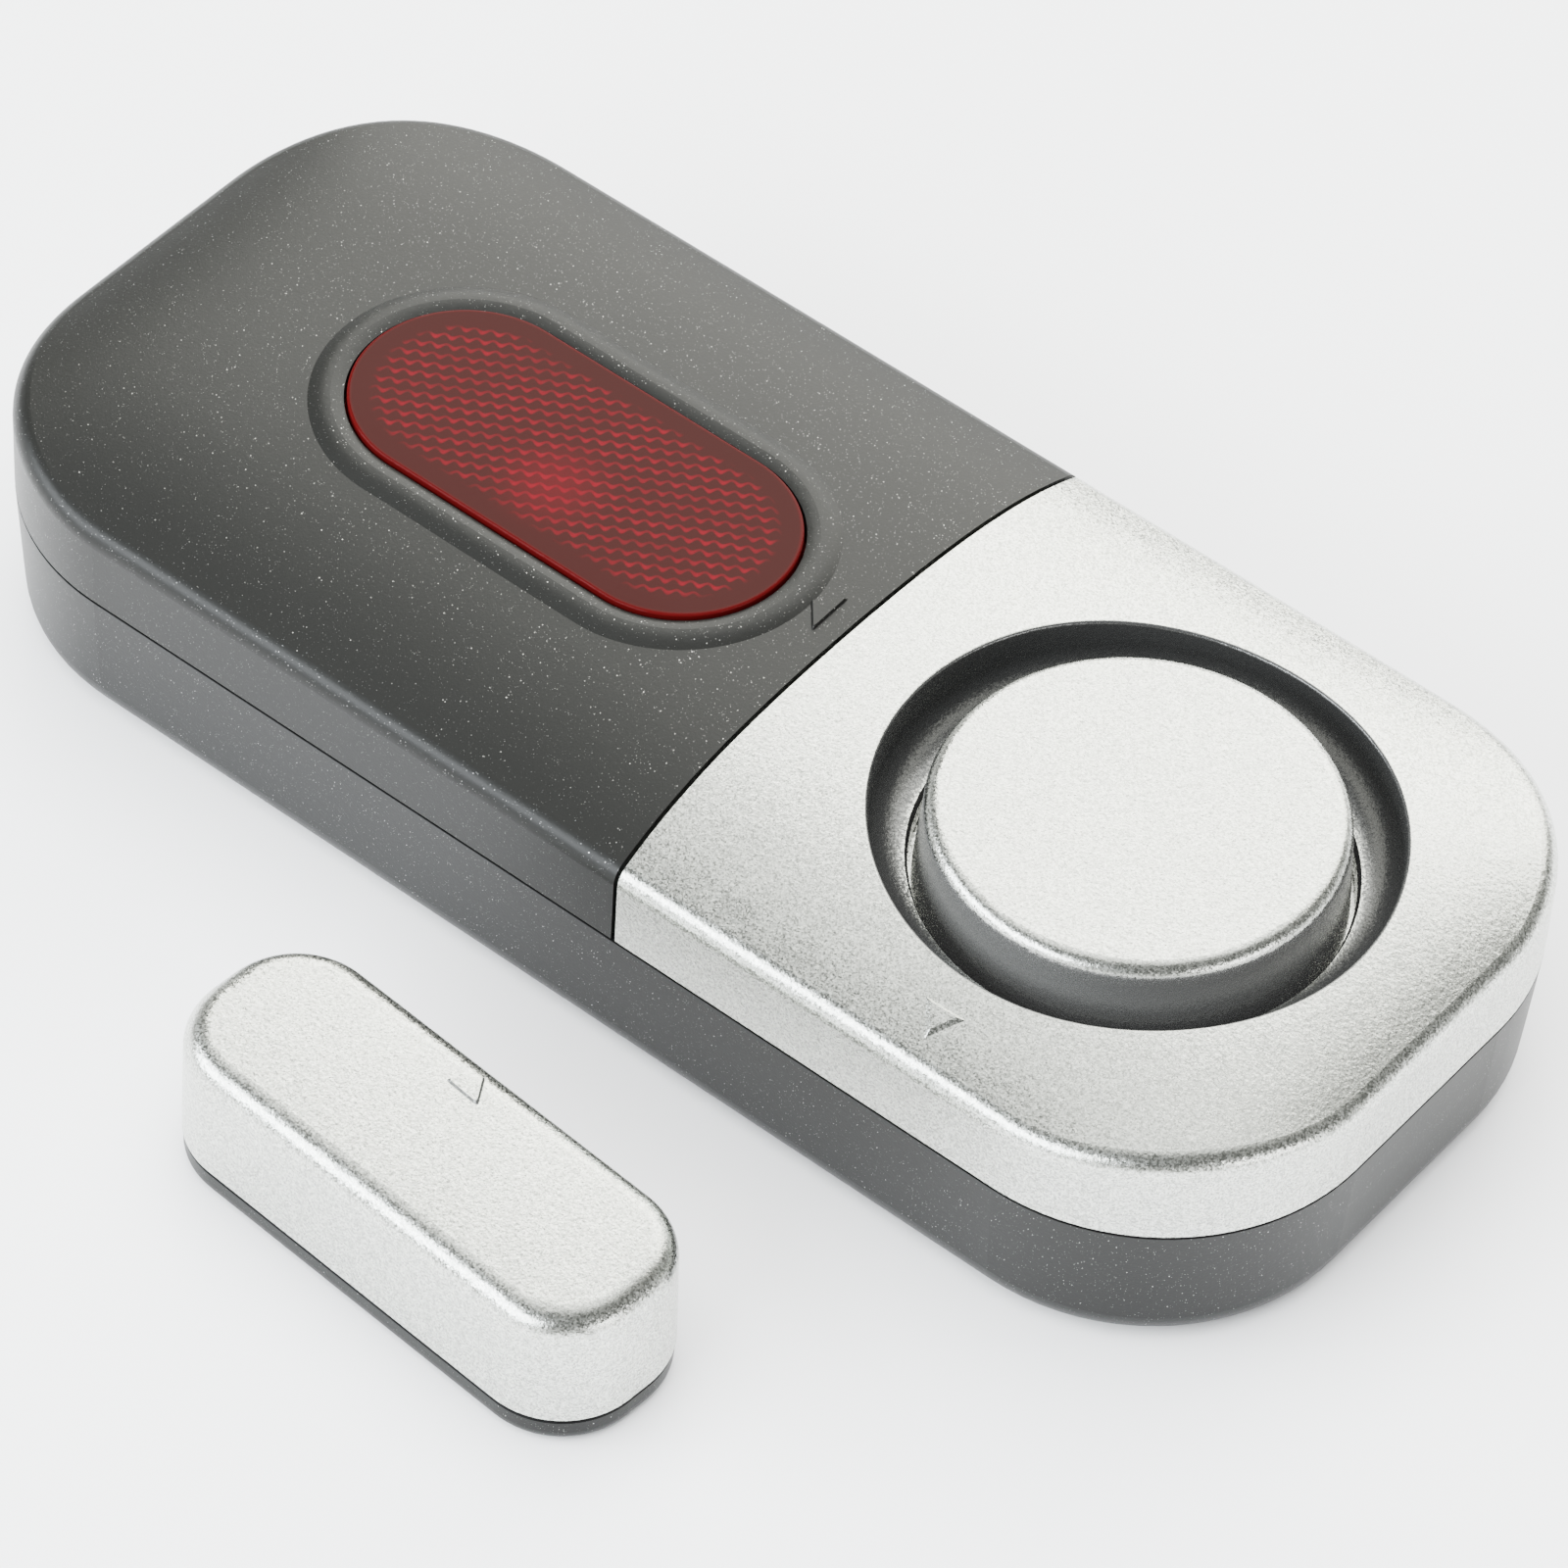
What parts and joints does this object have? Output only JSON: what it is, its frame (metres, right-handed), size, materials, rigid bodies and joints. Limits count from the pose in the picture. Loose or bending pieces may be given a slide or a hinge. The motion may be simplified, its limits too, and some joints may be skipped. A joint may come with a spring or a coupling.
{
  "type": "door alarm",
  "caption": "Battery door alarm with a two-tone housing, red light window, round push button in a recess, sliding battery cover and a separate bar magnet unit.",
  "frame": {"origin": "centre of the alarm's flat back, on the surface it is stuck to", "axes": "+X along the alarm towards the sounder end, +Y across it away from the magnet unit, +Z out of the door or wall"},
  "size_m": [0.12, 0.0842, 0.023],
  "materials": {
    "dark_plastic": "anthracite moulding with fine metallic flecks",
    "silver_plastic": "silver metallic paint on plastic, satin",
    "red_window": "deep red translucent plastic",
    "black_plastic": "black moulded plastic",
    "board": "green solder mask",
    "spring_steel": "nickel-plated steel",
    "screw_steel": "plated steel",
    "brass": "bare brass",
    "ceramic": "silvered ceramic",
    "glass_tube": "clear glass",
    "lamp_red": "red tinted epoxy",
    "cell_jacket": "plain printed jacket on steel",
    "sticky_foam": "foam tape with paper liner",
    "ferrite": "sintered magnet"
  },
  "bodies": {
    "alarm": {"base_shell": "dark_plastic", "front_cover": "silver_plastic", "switch_body": "black_plastic", "circuit_board": "board", "reed_switch": "glass_tube", "controller_chip": "black_plastic", "boost_coil": "ferrite", "capacitor": "black_plastic", "sounder_cup": "black_plastic", "piezo_disc": "brass", "piezo_ceramic": "ceramic", "plate_contact_1": "spring_steel", "plate_contact_2": "spring_steel", "bridge_contact": "spring_steel", "contact_spring_1": "spring_steel", "contact_spring_2": "spring_steel", "back_screws": "screw_steel", "magnet_cover": "silver_plastic", "magnet_plate": "dark_plastic", "magnet_bar": "ferrite", "magnet_pad": "sticky_foam", "lamp_1": "lamp_red", "lamp_2": "lamp_red", "lamp_3": "lamp_red", "battery_cell_1": "cell_jacket", "battery_cell_2": "cell_jacket", "sticky_pad_1": "sticky_foam", "sticky_pad_2": "sticky_foam"},
    "cover": {"battery_cover": "dark_plastic", "light_lens": "red_window"},
    "button": {"push_button": "silver_plastic", "switch_plunger": "black_plastic"}
  },
  "joints": [
    {"name": "battery_cover_slide", "type": "slide", "parent": "alarm", "child": "cover", "axis": [-1, 0, 0], "range_m": [0, 0.06]},
    {"name": "button_press", "type": "slide", "parent": "alarm", "child": "button", "axis": [0, 0, -1], "range_m": [0, 0.0012], "stiffness_N_per_m": 900}
  ]
}
